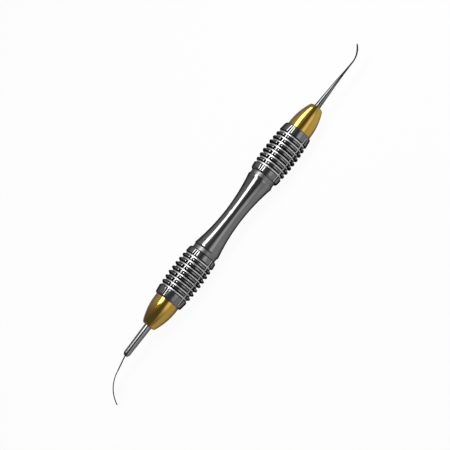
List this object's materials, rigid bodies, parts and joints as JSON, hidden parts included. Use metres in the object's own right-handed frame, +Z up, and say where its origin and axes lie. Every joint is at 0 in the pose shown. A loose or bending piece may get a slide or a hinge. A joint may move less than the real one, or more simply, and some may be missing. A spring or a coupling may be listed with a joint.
{
  "type": "dental spatula",
  "caption": "Double-ended dental hand instrument: ribbed waisted handle, gold end cones, a thin curved spatula blade and a slim hooked leaf tip.",
  "frame": {"origin": "the point on the table straight below the middle of the handle's axis", "axes": "+X along the handle's axis towards the slim hooked tip, +Z up, the spatula blade bends towards -Y and down to the table"},
  "size_m": [0.1643, 0.0134, 0.0132],
  "materials": {
    "gunmetal": "polished dark grey chrome",
    "gold_coating": "polished gold-coloured hard coating",
    "polished_steel": "polished stainless steel",
    "blade_steel": "satin spring steel"
  },
  "bodies": {
    "root": {"handle": "gunmetal", "lower_cone": "gold_coating", "upper_cone": "gold_coating", "lower_shank": "polished_steel", "spatula_blade": "blade_steel", "upper_tip": "polished_steel"}
  },
  "joints": []
}
